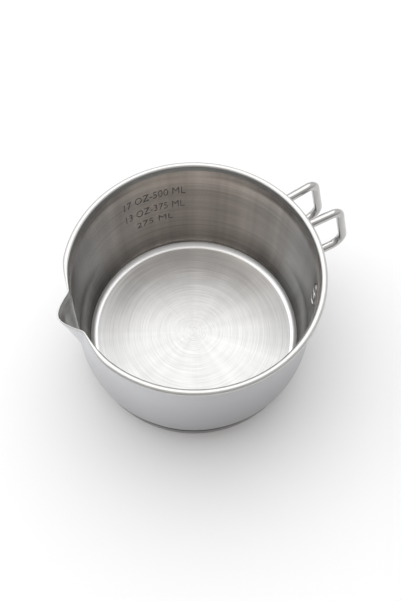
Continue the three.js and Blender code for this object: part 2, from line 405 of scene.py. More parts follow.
@dataclass(frozen=True)
class RingBrushed(Finish):
    """Steel brushed in rings round the pot's axis.

    The highlight stretches across the rings: up the wall and outwards over the floor.
    """

    light: Colour
    dark: Colour
    roughness: tuple[float, float]
    anisotropy: float
    pitch: float
    relief: float
    wander: float = 1.5
    fineness: float = 4.0
    fine_share: float = 0.35
    cloud_share: float = 0.25
    cloud_size: float = 25 * MM

    def dress(self, graph: Graph, shader: bpy.types.Node) -> None:
        """Puts the rings in the colour, the roughness and the relief.

        Args:
            graph: The material's node tree.
            shader: Its Principled shader.
        """
        coarse = graph.ring_noise(self.pitch, self.wander, detail=3.0)
        fine = graph.ring_noise(self.pitch / self.fineness, self.wander * self.fineness)
        cloud = graph.noise(graph.place(), 1 / self.cloud_size)
        coarse_part = graph.math("MULTIPLY", coarse, 1 - self.fine_share)
        grain = graph.math("MULTIPLY_ADD", fine, self.fine_share, coarse_part)
        grain_part = graph.math("MULTIPLY", grain, 1 - self.cloud_share)
        shade = graph.math("MULTIPLY_ADD", cloud, self.cloud_share, grain_part)
        share = graph.remap(shade, NOISE_LOW, NOISE_HIGH, 0, 1)
        graph.feed(shader.inputs["Base Color"], self.colour(graph, share))
        graph.feed(shader.inputs["Metallic"], 1.0)
        graph.feed(shader.inputs["Roughness"], graph.remap(share, 0, 1, *self.roughness))
        graph.feed(shader.inputs["Anisotropic"], self.anisotropy)
        graph.feed(shader.inputs["Anisotropic Rotation"], QUARTER_TURN)
        x, y, _ = graph.split(graph.place())
        around = graph.join(graph.math("MULTIPLY", y, -1.0), x, 0.0)
        graph.feed(shader.inputs["Tangent"], graph.vector("NORMALIZE", around).outputs[0])
        graph.feed(shader.inputs["Normal"], graph.bump(grain, self.relief))

    def colour(self, graph: Graph, shade: Socket) -> Socket:
        """The steel's own colour, by the shade of its rings."""
        return graph.blend(shade, self.dark, self.light)


@dataclass(frozen=True)
class PaintedLightBrushed(RingBrushed):
    """Ring brushed steel with painted light: painted reflection and shade towards one azimuth and between two
    heights, and upright stripes of painted reflection.
    """

    azimuth: float = 0.0
    # The side facing the azimuth and the side away from it are multiplied by these: painted reflection and
    # shade.
    facing_painted_tint: Colour = WHITE
    away_painted_tint: Colour = WHITE
    facing_from: float = 0.4
    facing_to: float = 0.95
    band_from: float = 0.0
    band_to: float = 1.0
    # Multiplied in between the two heights: painted light and shade.
    band_painted_tint: Colour = WHITE
    # How strongly upright stripes of painted reflection vary, and how many there are.
    painted_streaks: float = 0.0
    painted_streak_scale: float = 5.0

    def colour(self, graph: Graph, shade: Socket) -> Socket:
        """Multiplies the ring colour by the painted light and shade of azimuth and height and by the painted
        upright stripes.

        Args:
            graph: The material's node tree.
            shade: The shade of the rings, from 0 to 1.

        Returns:
            The colour with its painted light and shade.
        """
        x, y, z = graph.split(graph.place())
        outwards = graph.vector("NORMALIZE", graph.join(x, y, 0.0)).outputs[0]
        # Painted reflection and shade by azimuth.
        heading = (math.cos(self.azimuth), math.sin(self.azimuth), 0.0)
        facing = graph.vector("DOT_PRODUCT", outwards, heading).outputs["Value"]
        towards = graph.remap(facing, self.facing_from, self.facing_to, 0, 1)
        side = graph.blend(towards, self.away_painted_tint, self.facing_painted_tint)
        # Painted light and shade by height.
        height = graph.remap(z, self.band_from, self.band_to, 0, 1)
        band = graph.blend(height, WHITE, self.band_painted_tint)
        painted_tint = graph.vector("MULTIPLY", side, band).outputs[0]
        steel = graph.vector("MULTIPLY", super().colour(graph, shade), painted_tint).outputs[0]
        # Upright stripes of painted reflection, which vary only round the axis.
        uneven = graph.noise(outwards, self.painted_streak_scale, detail=3.0)
        painted_streak = graph.remap(uneven, NOISE_LOW, NOISE_HIGH, 1 - self.painted_streaks, 1 + self.painted_streaks)
        with_painted_streaks = graph.vector("SCALE", steel)
        graph.feed(with_painted_streaks.inputs["Scale"], painted_streak)
        return with_painted_streaks.outputs[0]


@dataclass(frozen=True)
class Polished(Finish):
    """Polished steel with faint hairlines and smudges."""

    light: Colour
    dark: Colour
    roughness: tuple[float, float]
    relief: float
    smudge_size: float = 6 * MM
    hairline_width: float = 0.35 * MM
    hairline_stretch: tuple[float, float, float] = (1.0, 1.0, 0.12)
    mottle_from: float = 0.7
    mottle_to: float = 1.3

    def dress(self, graph: Graph, shader: bpy.types.Node) -> None:
        """Puts smudges in the colour and roughness, and a slight unevenness in the surface.

        Args:
            graph: The material's node tree.
            shader: Its Principled shader.
        """
        place = graph.place()
        smudge = graph.noise(place, 1 / self.smudge_size, detail=4.0)
        stretched = graph.vector("MULTIPLY", place, self.hairline_stretch).outputs[0]
        hairline = graph.noise(stretched, 1 / self.hairline_width)
        share = graph.remap(graph.math("ADD", smudge, hairline), self.mottle_from, self.mottle_to, 0, 1)
        graph.feed(shader.inputs["Base Color"], graph.blend(share, self.dark, self.light))
        graph.feed(shader.inputs["Metallic"], 1.0)
        graph.feed(shader.inputs["Roughness"], graph.remap(share, 0, 1, *self.roughness))
        graph.feed(shader.inputs["Normal"], graph.bump(smudge, self.relief))


@dataclass(frozen=True)
class Etched(Finish):
    """Dark oxide left by marking the steel with a laser."""

    light: Colour
    dark: Colour
    roughness: tuple[float, float]
    patch_size: float = 1.2 * MM
    patch_from: float = 0.35
    patch_to: float = 0.65
    metallic: float = 0.5

    def dress(self, graph: Graph, shader: bpy.types.Node) -> None:
        """Makes each stroke unevenly dark.

        Args:
            graph: The material's node tree.
            shader: Its Principled shader.
        """
        uneven = graph.noise(graph.place(), 1 / self.patch_size, detail=3.0)
        patch = graph.remap(uneven, self.patch_from, self.patch_to, 0, 1)
        graph.feed(shader.inputs["Base Color"], graph.blend(patch, self.dark, self.light))
        graph.feed(shader.inputs["Metallic"], self.metallic)
        graph.feed(shader.inputs["Roughness"], graph.remap(patch, 0, 1, *self.roughness))


@dataclass(frozen=True)
class Matte(Finish):
    """A pale matte floor."""

    light: Colour
    dark: Colour
    cloud_scale: float = 3.0
    roughness: float = 0.9
    specular: float = 0.1

    def dress(self, graph: Graph, shader: bpy.types.Node) -> None:
        """Puts very faint clouds of tone in the colour.

        Args:
            graph: The material's node tree.
            shader: Its Principled shader.
        """
        cloud = graph.noise(graph.place(), self.cloud_scale)
        graph.feed(shader.inputs["Base Color"], graph.blend(cloud, self.dark, self.light))
        graph.feed(shader.inputs["Roughness"], self.roughness)
        graph.feed(shader.inputs["Specular IOR Level"], self.specular)


# The outside is painted darker on the side facing -70° and lighter away from it, as painted shade and light.
# It is also painted darker from 52 mm down to 8 mm, as a painted reflection of the floor's shadow.
OUTSIDE_STEEL = PaintedLightBrushed(
    "outside_steel",
    light=(0.61, 0.615, 0.63),
    dark=(0.54, 0.545, 0.56),
    roughness=(0.22, 0.28),
    anisotropy=0.4,
    pitch=0.9 * MM,
    relief=0.001 * MM,
    azimuth=math.radians(-70),
    facing_painted_tint=(0.84, 0.84, 0.85),
    away_painted_tint=(1.06, 1.065, 1.08),
    band_from=52 * MM,
    band_to=8 * MM,
    band_painted_tint=(0.74, 0.74, 0.74),
)
BEAD_STEEL = Polished(
    "bead_steel",
    light=(0.59, 0.59, 0.58),
    dark=(0.54, 0.54, 0.53),
    roughness=(0.34, 0.42),
    relief=0.002 * MM,
)
# The inner wall is painted warm on the side facing 70° and dark away from it, lighter from 52 mm up to 65 mm,
# and given upright stripes. All of this is painted reflection.
WALL_STEEL = PaintedLightBrushed(
    "wall_steel",
    light=(0.66, 0.66, 0.66),
    dark=(0.37, 0.37, 0.37),
    roughness=(0.15, 0.24),
    anisotropy=0.6,
    pitch=1.3 * MM,
    relief=0.008 * MM,
    wander=0.5,
    azimuth=math.radians(70),
    facing_painted_tint=(0.85, 0.76, 0.685),
    away_painted_tint=(0.50, 0.50, 0.495),
    band_from=52 * MM,
    band_to=65 * MM,
    band_painted_tint=(1.75, 1.74, 1.74),
    painted_streaks=0.22,
)
# The floor's faint changes round the axis are painted highlight wedges.
FLOOR_STEEL = PaintedLightBrushed(
    "floor_steel",
    light=(0.64, 0.638, 0.634),
    dark=(0.36, 0.359, 0.357),
    roughness=(0.28, 0.38),
    anisotropy=0.7,
    pitch=0.55 * MM,
    relief=0.003 * MM,
    wander=0.9,
    painted_streaks=0.05,
)
# The corner ring is lighter than the floor and the wall: a painted highlight round the floor's corner.
RING_HIGHLIGHT_STEEL = RingBrushed(
    "ring_highlight_steel",
    light=(0.80, 0.80, 0.80),
    dark=(0.70, 0.70, 0.70),
    roughness=(0.34, 0.40),
    anisotropy=0.3,
    pitch=1.2 * MM,
    relief=0.004 * MM,
    wander=0.35,
)
# The cap's steel is painted darker than the pot's, and darker still above 4.4 mm. This is painted shade under
# the pot's overhang.
CAP_STEEL = PaintedLightBrushed(
    "cap_steel",
    light=(0.44, 0.44, 0.44),
    dark=(0.36, 0.36, 0.36),
    roughness=(0.3, 0.4),
    anisotropy=0.4,
    pitch=0.6 * MM,
    relief=0.003 * MM,
    band_from=3.6 * MM,
    band_to=4.4 * MM,
    band_painted_tint=(0.22, 0.22, 0.22),
)
STRAP_STEEL = RingBrushed(
    "strap_steel",
    light=(0.62, 0.62, 0.61),
    dark=(0.54, 0.54, 0.53),
    roughness=(0.25, 0.34),
    anisotropy=0.3,
    pitch=0.7 * MM,
    relief=0.003 * MM,
)
WIRE_STEEL = Polished(
    "wire_steel",
    light=(0.54, 0.535, 0.525),
    dark=(0.44, 0.435, 0.43),
    roughness=(0.12, 0.2),
    relief=0.006 * MM,
)
RIVET_STEEL = Polished(
    "rivet_steel",
    light=(0.82, 0.80, 0.78),
    dark=(0.70, 0.68, 0.66),
    roughness=(0.14, 0.22),
    relief=0.004 * MM,
)
DISC_ALUMINIUM = RingBrushed(
    "disc_aluminium",
    light=(0.78, 0.79, 0.80),
    dark=(0.68, 0.69, 0.70),
    roughness=(0.4, 0.5),
    anisotropy=0.3,
    pitch=0.8 * MM,
    relief=0.004 * MM,
)
MARK_OXIDE = Etched("mark_oxide", light=(0.22, 0.20, 0.185), dark=(0.08, 0.075, 0.07), roughness=(0.45, 0.6))
PALE_FLOOR = Matte("pale_floor", light=(0.89, 0.89, 0.895), dark=(0.87, 0.87, 0.875))


def oval(
    centre: Vector, half_width: float, half_height: float, start: float, end: float, steps: int
) -> list[Vector]:
    """Points along an oval in a plane, both ends included.

    Args:
        centre: The oval's centre, as a flat vector.
        half_width: Half its width.
        half_height: Half its height.
        start: The first point's angle.
        end: The last point's angle.
        steps: How many stretches the oval has.

    Returns:
        The points, as flat vectors.
    """
    angles = [start + (end - start) * i / steps for i in range(steps + 1)]
    return [centre + Vector((half_width * math.cos(a), half_height * math.sin(a))) for a in angles]


def arc(centre: Vector, radius: float, start: float, end: float, steps: int) -> list[Vector]:
    """Points of an arc in a plane, both ends included."""
    return oval(centre, radius, radius, start, end, steps)


def bent(corners: Sequence[Vector], radii: Sequence[float]) -> list[Vector]:
    """A path through corners, each rounded with its own radius.

    Args:
        corners: The corners, with both ends of the path.
        radii: One radius for each corner between the ends; 0 keeps it sharp.

    Returns:
        The path's points.
    """
    path = [corners[0]]
    for before, corner, after, radius in zip(corners, corners[1:], corners[2:], radii):
        back = (before - corner).normalized()
        ahead = (after - corner).normalized()
        turn = math.pi - back.angle(ahead)
        if radius == 0 or turn < LEAST_TURN:
            path.append(corner)
            continue
        centre = corner + (back + ahead).normalized() * radius / math.cos(turn / 2)
        first = corner + back * radius * math.tan(turn / 2) - centre
        last = corner + ahead * radius * math.tan(turn / 2) - centre
        for i in range(BEND_STEPS + 1):
            share = i / BEND_STEPS
            spread = math.sin((1 - share) * turn) * first + math.sin(share * turn) * last
            path.append(centre + spread / math.sin(turn))
    path.append(corners[-1])
    return path


def smoothstep(value: float, low: float, high: float) -> float:
    """Changes softly from 0 to 1.

    Args:
        value: The value.
        low: Where the change starts.
        high: Where it ends.

    Returns:
        0 below low, 1 above high.
    """
    share = min(1.0, max(0.0, (value - low) / (high - low)))
    return share * share * (3 - 2 * share)


def mix(first: float, second: float, share: float) -> float:
    """The value that lies that share of the way between two others."""
    return first + (second - first) * share


def spun(profile: Sequence[Vector], steps: int) -> bmesh.types.BMesh:
    """A closed body turned round the Z axis.

    Args:
        profile: (radius, height) points that start and end on the axis.
        steps: How many sides a full turn has.

    Returns:
        The body, with its normals facing outwards.
    """
    body = bmesh.new()
    points = [body.verts.new((p.x, 0, p.y)) for p in profile]
    edges = [body.edges.new(pair) for pair in zip(points, points[1:])]
    bmesh.ops.spin(
        body, geom=points + edges, cent=(0, 0, 0), axis=(0, 0, 1), angle=math.tau, steps=steps, use_merge=True
    )
    bmesh.ops.remove_doubles(body, verts=body.verts, dist=MERGE_DISTANCE)
    bmesh.ops.recalc_face_normals(body, faces=body.faces)
    return body


def finished(name: str, body: bmesh.types.BMesh, finishes: Sequence[Finish]) -> bpy.types.Object:
    """Makes a bmesh an object at the origin, smooth shaded and in its finishes.

    Args:
        name: The object's name.
        body: The bmesh, which is freed.
        finishes: One finish for each material slot.

    Returns:
        The object.
    """
    mesh = bpy.data.meshes.new(name)
    body.to_mesh(mesh)
    body.free()
    mesh.shade_smooth()
    for finish in finishes:
        mesh.materials.append(finish.material())
    made = bpy.data.objects.new(name, mesh)
    bpy.context.scene.collection.objects.link(made)
    return made


def evaluated_mesh(made: bpy.types.Object) -> bpy.types.Mesh:
    """Makes a plain mesh of an object, as its modifiers or its curve settings leave it.

    Args:
        made: The object.

    Returns:
        The mesh.
    """
    bpy.context.view_layer.update()
    graph = bpy.context.evaluated_depsgraph_get()
    return bpy.data.meshes.new_from_object(made.evaluated_get(graph))


def with_rivet_holes(made: bpy.types.Object) -> bpy.types.Object:
    """Cuts both rivet holes through an object.

    Args:
        made: The object.

    Returns:
        The same object, with its new mesh.
    """
    cutter = bmesh.new()
    lie = Matrix.Translation((WALL_OUTER, 0, 0)) @ Matrix.Rotation(math.pi / 2, 4, "Y")
    for height in RivetHeight:
        bmesh.ops.create_cone(
            cutter,
            cap_ends=True,
            segments=RIVET_STEPS,
            radius1=RIVET_HOLE,
            radius2=RIVET_HOLE,
            depth=HOLE_CUTTER_LENGTH,
            matrix=rivet_place(height.value) @ lie,
        )
    tool = finished("rivet_hole_cutter", cutter, [])
    cut = made.modifiers.new("rivet_holes", "BOOLEAN")
    cut.operation = "DIFFERENCE"
    cut.solver = "EXACT"
    cut.object = tool
    plain = made.data
    made.data = evaluated_mesh(made)
    made.data.name = made.name
    made.modifiers.clear()
    bpy.data.meshes.remove(plain)
    bpy.data.objects.remove(tool)
    return made


def rivet_place(height: float) -> Matrix:
    """Carries +X to the rivets' axis at a height."""
    return Matrix.Translation((0, 0, height)) @ Matrix.Rotation(RIVET_AZIMUTH, 4, "Z")


@dataclass
class Piece(ABC):
    """A piece of the model that stands for one CAD node."""

    node: str
    body: str
    slot: str

    @abstractmethod
    def build(self) -> bpy.types.Object:
        """Makes the piece's object."""

    def place(self) -> None:
        """Builds the piece, hides its CAD node and lets it ride on its body."""
        made = self.build()
        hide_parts(self.node)
        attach(made, self.body)
        log.info("%s: %d faces", made.name, len(made.data.polygons))


@dataclass
class PotBody(Piece):
    """The pressed pot: floor, wall, rolled rim and pouring beak in one sheet."""

    floor_steps: int = 6
    corner_steps: int = 20
    bead_steps: int = 22
    low_rows: int = 4
    beak_rows: int = 19
    flare_rows: int = 5
    edge_margin: float = 0.1 * MM

    def wall_levels(self) -> list[float]:
        """Spaces the wall's rows, closer together over the beak and the flare.

        Returns:
            The rows' heights, from the corner up to the rim.
        """
        low = FLOOR_HEIGHT + CORNER_RISE
        below = [mix(low, BEAK_APEX_HEIGHT, i / self.low_rows) for i in range(1, self.low_rows)]
        beak = [mix(BEAK_APEX_HEIGHT, FLARE_START, i / self.beak_rows) for i in range(self.beak_rows)]
        flare = [mix(FLARE_START, FLARE_END, i / self.flare_rows) for i in range(self.flare_rows + 1)]
        return below + beak + flare

    def wall(self, radius: float, level: float) -> Vector:
        """A point of the wall, which widens a little just under the rim."""
        return Vector((radius + FLARE * smoothstep(level, FLARE_START, FLARE_END), level))

    def bead_centre(self) -> Vector:
        """Centre of the rim bead in the section."""
        return Vector((BEAD_CENTRE_RADIUS, POT_HEIGHT - BEAD_HALF_HEIGHT))

    def profile(self) -> list[Vector]:
        """Draws the section away from the beak: up the inside, over the bead and down the outside.

        Returns:
            (radius, height) points, from the axis and back to it.
        """
        levels = self.wall_levels()
        quarter = math.pi / 2
        corner = Vector((WALL_INNER - CORNER_RUN, FLOOR_HEIGHT + CORNER_RISE))
        bead = (BEAD_HALF_WIDTH, BEAD_HALF_HEIGHT, math.pi, BEAD_UNDERCUT, self.bead_steps)
        return [
            *[Vector((corner.x * i / self.floor_steps, FLOOR_HEIGHT)) for i in range(self.floor_steps)],
            *oval(corner, CORNER_RUN, CORNER_RISE, -quarter, 0, self.corner_steps),
            *[self.wall(WALL_INNER, level) for level in levels],
            *oval(self.bead_centre(), *bead),
            *[self.wall(WALL_OUTER, level) for level in reversed(levels)],
            *oval(corner, CORNER_RUN + SHEET, CORNER_RISE + SHEET, 0, -quarter, self.corner_steps),
            Vector((0, UNDERSIDE_HEIGHT)),
        ]

    def skin(self, face: bmesh.types.BMFace) -> PotSkin:
        """Chooses the finish of a face.

        Args:
            face: A face of the plain turned pot.

        Returns:
            The face's material slot.
        """
        centre = face.calc_center_median()
        radius = math.hypot(centre.x, centre.y)
        widened = FLARE * smoothstep(centre.z, FLARE_START, FLARE_END)
        if centre.z > FLARE_END and radius > WALL_INNER + FLARE + self.edge_margin:
            return PotSkin.BEAD
        if radius > WALL_MIDDLE + widened or face.normal.z < -ANGLE_TOLERANCE:
            return PotSkin.OUTSIDE
        if radius < WALL_INNER - CORNER_RUN:
            return PotSkin.INNER_FLOOR
        if radius < RING_RADIUS:
            return PotSkin.CORNER_RING
        return PotSkin.INNER_WALL

    def from_beak(self, azimuth: float) -> float:
        """Angle from the middle of the beak, between 0 and pi."""
        return abs((azimuth - BEAK_AZIMUTH + math.pi) % math.tau - math.pi)

    def beak_push(self, azimuth: float, height: float) -> float:
        """Works out how far the beak pushes the wall outwards.

        Args:
            azimuth: Where round the pot.
            height: How high on the wall.

        Returns:
            The distance, which eases in and out at the beak's edges.
        """
        rise = (height - BEAK_APEX_HEIGHT) / (POT_HEIGHT - BEAK_APEX_HEIGHT)
        across = self.from_beak(azimuth) / BEAK_HALF_WIDTH
        softness = math.hypot(1, BEAK_ROUNDING) - BEAK_ROUNDING
        folded = (math.hypot(across, BEAK_ROUNDING) - BEAK_ROUNDING) / softness
        push = min(1.0, max(-BEAK_EASING, rise - folded))
        if push < BEAK_EASING:
            push = (push + BEAK_EASING) ** 2 / (4 * BEAK_EASING)
        return BEAK_REACH * push

    def edge_point(self, point: Vector, lip: float) -> Vector:
        """A point of the bead carried towards the beak's plain lip.

        Args:
            point: (radius, height) of the point on the whole bead.
            lip: 0 for the whole bead and 1 for the plain lip.

        Returns:
            The point's new radius and height.
        """
        centre = self.bead_centre()
        angle = math.atan2((point.y - centre.y) / BEAD_HALF_HEIGHT, (point.x - centre.x) / BEAD_HALF_WIDTH)
        if angle < BEAD_UNDERCUT - ANGLE_TOLERANCE:
            angle += math.tau
        along = (math.pi - angle) / (math.pi - BEAD_UNDERCUT)
        end = mix(BEAD_UNDERCUT, 0, lip)
        half_width = mix(BEAD_HALF_WIDTH, SHEET / 2, lip)
        half_height = mix(BEAD_HALF_HEIGHT, SHEET / 2, lip)
        lip_centre = Vector((WALL_MIDDLE + FLARE, POT_HEIGHT - SHEET / 2))
        turned = mix(math.pi, end, along)
        return oval(centre.lerp(lip_centre, lip), half_width, half_height, turned, turned, 1)[0]

    def build(self) -> bpy.types.Object:
        """Spins the section, then presses the beak and flattens the bead beside it.

        Returns:
            The pot, with its rivet holes.
        """
        body = spun(self.profile(), POT_STEPS)
        for face in body.faces:
            face.material_index = self.skin(face).value
        bead_foot = FLARE_END + self.edge_margin
        for vertex in body.verts:
            azimuth = math.atan2(vertex.co.y, vertex.co.x)
            point = Vector((math.hypot(vertex.co.x, vertex.co.y), vertex.co.z))
            if point.y > bead_foot:
                lip = 1 - smoothstep(self.from_beak(azimuth), BEAK_HALF_WIDTH, BEAD_FADE_END)
                point = self.edge_point(point, lip)
            if point.x > WALL_INNER - CORNER_RUN:  # the floor isn't pressed
                radius = point.x + self.beak_push(azimuth, point.y)
                vertex.co = (radius * math.cos(azimuth), radius * math.sin(azimuth), point.y)
        body.normal_update()
        finishes = [OUTSIDE_STEEL, BEAD_STEEL, WALL_STEEL, FLOOR_STEEL, RING_HIGHLIGHT_STEEL]
        return with_rivet_holes(finished("pot_body_fine", body, finishes))


@dataclass
class BaseCap(Piece):
    """The steel cap under the pot."""

    edge_steps: int = 10

    def build(self) -> bpy.types.Object:
        """Spins the cap's section, with its top edge rounded.

        Returns:
            The cap.
        """
        edge_centre = Vector((CAP_RADIUS - CAP_EDGE, CAP_EDGE))
        lip_centre = Vector((CAP_RADIUS - CAP_SHEET / 2, CAP_HEIGHT - CAP_SHEET / 2))
        profile = [
            Vector((0, 0)),
            *arc(edge_centre, CAP_EDGE, -math.pi / 2, 0, self.edge_steps),
            *arc(lip_centre, CAP_SHEET / 2, 0, math.pi, self.edge_steps),
            *arc(edge_centre, CAP_EDGE - CAP_SHEET, 0, -math.pi / 2, self.edge_steps),
            Vector((0, CAP_SHEET)),
        ]
        return finished("base_cap_fine", spun(profile, POT_STEPS // 2), [CAP_STEEL])


@dataclass
class HandleStrap(Piece):
    """The strap outside the wall, bent from a flat strip with rounded ends."""

    hinges: tuple[float, ...]
    arc_step: float = math.radians(2)
    corner_steps: int = 8
    edge_segments: int = 3

    def on_wall(self, azimuth: float) -> Vector:
        """The middle of the sheet where it follows the wall."""
        return Vector((STRAP_MIDDLE * math.cos(azimuth), STRAP_MIDDLE * math.sin(azimuth)))

    def wall_run(self, start: float, end: float) -> list[tuple[Vector, float]]:
        """Follows the wall between two azimuths.

        Args:
            start: The first azimuth.
            end: The last one.

        Returns:
            Unrounded corners of the path, both ends left out.
        """
        steps = math.ceil((end - start) / self.arc_step)
        return [(self.on_wall(mix(start, end, i / steps)), 0.0) for i in range(1, steps)]

    def channel(self, azimuth: float, half: float) -> list[tuple[Vector, float]]:
        """Goes up, over and down again at a hinge.

        Args:
            azimuth: The hinge's azimuth.
            half: Half the channel's width at its foot, as an angle.

        Returns:
            The channel's four corners, each with its rounding.
        """
        outwards = Vector((math.cos(azimuth), math.sin(azimuth)))
        side = Vector((-outwards.y, outwards.x)) * CHANNEL_MIDDLE
        crest = outwards * (HINGE_RADIUS + CHANNEL_MIDDLE)
        foot = outwards * STRAP_MIDDLE * math.cos(half)
        return list(zip((foot - side, crest - side, crest + side, foot + side), CHANNEL_ROUNDINGS))

    def plan(self) -> list[Vector]:
        """Draws the middle of the bent sheet seen from above.

        Returns:
            Its points: along the wall, with a half-round channel over each hinge.
        """
        half = math.asin(CHANNEL_MIDDLE / STRAP_MIDDLE)
        turns = [(self.on_wall(STRAP_START), 0.0)]
        start = STRAP_START
        for azimuth in self.hinges:
            turns += self.wall_run(start, azimuth - half)
            turns += self.channel(azimuth, half)
            start = azimuth + half
        turns += self.wall_run(start, STRAP_END)
        turns.append((self.on_wall(STRAP_END), 0.0))
        corners, radii = zip(*turns)
        return bent(corners, radii[1:-1])

    def flat_strip(self, length: float) -> bmesh.types.BMesh:
        """Makes the strip before it is bent.

        Args:
            length: The strip's length.

        Returns:
            The strip with rounded ends and edges: X along it, Y across its thickness, Z up.
        """
        strip = bmesh.new()
        half = STRAP_HEIGHT / 2
        inset = STRAP_END_ROUNDING
        quarter = math.pi / 2
        corners = [(inset, -half + inset, 2), (length - inset, -half + inset, 3)]
        corners += [(length - inset, half - inset, 4), (inset, half - inset, 5)]
        outline = [
            point
            for x, z, turn in corners
            for point in arc(Vector((x, z)), inset, turn * quarter, (turn + 1) * quarter, self.corner_steps)
        ]
        face = strip.faces.new([strip.verts.new((p.x, -STRAP_SHEET / 2, p.y)) for p in outline])
        raised = bmesh.ops.extrude_face_region(strip, geom=[face])
        lifted = [v for v in raised["geom"] if isinstance(v, bmesh.types.BMVert)]
        bmesh.ops.translate(strip, verts=lifted, vec=(0, STRAP_SHEET, 0))
        bmesh.ops.recalc_face_normals(strip, faces=strip.faces)
        rim = [edge for edge in strip.edges if edge.calc_face_angle(0.0) > SHARP_ANGLE]
        bmesh.ops.bevel(
            strip,
            geom=rim,
            offset=STRAP_EDGE,
            affect="EDGES",
            segments=self.edge_segments,
            profile=0.5,
            material=-1,
        )
        return strip

    def build(self) -> bpy.types.Object:
        """Slices the flat strip at every point of the plan, then bends it along the plan.

        Returns:
            The strap, with its rivet holes.
        """
        path = self.plan()
        distances = [0.0]
        for here, following in zip(path, path[1:]):
            distances.append(distances[-1] + (following - here).length)
        strip = self.flat_strip(distances[-1])
        for distance in distances[1:-1]:
            geometry = [*strip.verts, *strip.edges, *strip.faces]
            bmesh.ops.bisect_plane(
                strip, geom=geometry, dist=SLICE_DISTANCE, plane_co=(distance, 0, 0), plane_no=(1, 0, 0)
            )
        before = [path[0], *path[:-1]]
        after = [*path[1:], path[-1]]
        headings = [(later - earlier).normalized() for earlier, later in zip(before, after)]
        for vertex in strip.verts:
            ahead = min(bisect_left(distances, vertex.co.x - MATCH_DISTANCE), len(path) - 1)
            behind = max(ahead - 1, 0)
            span = distances[ahead] - distances[behind]
            share = (vertex.co.x - distances[behind]) / span if span else 0.0
            middle = path[behind].lerp(path[ahead], share)
            heading = headings[behind].lerp(headings[ahead], share).normalized()
            outwards = Vector((heading.y, -heading.x))
            spot = middle + outwards * vertex.co.y
            vertex.co = (spot.x, spot.y, STRAP_CENTRE_HEIGHT + vertex.co.z)
        bmesh.ops.recalc_face_normals(strip, faces=strip.faces)
        return with_rivet_holes(finished("handle_strap_fine", strip, [STRAP_STEEL]))


@dataclass
class Rivet(Piece):
    """A rivet with a domed head on each side of the wall."""

    height: RivetHeight
    dome_steps: int = 10
    edge: float = 0.25 * MM
    seat_gap: float = 0.02 * MM

    def head(self, seat: float, facing: int) -> list[Vector]:
        """One head's section, from its crown to its seat.

        Args:
            seat: Where along the axis the head rests.
            facing: 1 for the outer head and -1 for the inner one.

        Returns:
            (radius, distance along the axis) points.
        """
        rise = HEAD_HEIGHT - self.edge
        dome_radius = (HEAD_RADIUS**2 + rise**2) / (2 * rise)
        half = math.asin(HEAD_RADIUS / dome_radius)
        centre = Vector((0, HEAD_HEIGHT - dome_radius))
        crown = arc(centre, dome_radius, math.pi / 2, math.pi / 2 - half, self.dome_steps)
        crown[0].x = 0  # exactly on the axis
        section = [*crown, Vector((HEAD_RADIUS, self.edge / 2)), Vector((HEAD_RADIUS - self.edge / 2, 0))]
        return [Vector((p.x, seat + facing * p.y)) for p in section]

    def build(self) -> bpy.types.Object:
        """Spins both heads and the shank, then lays the rivet through the wall.

        Returns:
            The rivet.
        """
        inner = self.head(WALL_INNER - self.seat_gap, -1)
        outer = self.head(STRAP_MIDDLE + STRAP_SHEET / 2 + self.seat_gap, 1)
        shank = [Vector((SHANK_RADIUS, inner[-1].y)), Vector((SHANK_RADIUS, outer[-1].y))]
        body = spun([*inner, *shank, *reversed(outer)], RIVET_STEPS)
        lie = rivet_place(self.height.value) @ Matrix.Rotation(math.pi / 2, 4, "Y")
        bmesh.ops.transform(body, matrix=lie, verts=body.verts)
        return finished(f"{self.node}_fine", body, [RIVET_STEEL])


@dataclass
class WireLoop(Piece):
    """A wire loop whose upright stretch turns in a channel of the strap."""

    hinge_azimuth: float
    direction: float

    def path(self) -> list[Vector]:
        """Draws the wire's middle, in the loop's own upright plane.

        Returns:
            Its points, from one end to the other. Both ends meet inside the channel.
        """
        corners = [
            Vector((0, 0, WIRE_END_GAP / 2)),
            Vector((0, 0, LOOP_HALF_HEIGHT)),
            Vector((TOP_ARM, 0, LOOP_HALF_HEIGHT)),
            Vector((BOTTOM_ARM, 0, -LOOP_HALF_HEIGHT)),
            Vector((0, 0, -LOOP_HALF_HEIGHT)),
            Vector((0, 0, -WIRE_END_GAP / 2)),
        ]
        return bent(corners, [HINGE_BEND, TOP_BEND, BOTTOM_BEND, HINGE_BEND])

    def build(self) -> bpy.types.Object:
        """Sweeps a round section along the path and stands the loop on its hinge axis.

        Returns:
            The loop.
        """
        name = f"{self.node}_fine"
        wire = bpy.data.curves.new(f"{name}_path", "CURVE")
        wire.dimensions = "3D"
        wire.bevel_depth = WIRE_RADIUS - WIRE_TRIM
        wire.bevel_resolution = 9
        wire.use_fill_caps = True
        points = self.path()
        spline = wire.splines.new("POLY")
        spline.points.add(len(points) - 1)
        for knot, point in zip(spline.points, points):
            knot.co = (*point, 1.0)
        drawn = bpy.data.objects.new(f"{name}_path", wire)
        bpy.context.scene.collection.objects.link(drawn)
        mesh = evaluated_mesh(drawn)
        bpy.data.objects.remove(drawn)
        body = bmesh.new()
        body.from_mesh(mesh)
        bmesh.ops.remove_doubles(body, verts=body.verts, dist=MERGE_DISTANCE)
        bmesh.ops.recalc_face_normals(body, faces=body.faces)
        hinge = (
            HINGE_RADIUS * math.cos(self.hinge_azimuth),
            HINGE_RADIUS * math.sin(self.hinge_azimuth),
            LOOP_CENTRE_HEIGHT,
        )
        stand = Matrix.Translation(hinge) @ Matrix.Rotation(self.direction, 4, "Z")
        bmesh.ops.transform(body, matrix=stand, verts=body.verts)
        return finished(name, body, [WIRE_STEEL])


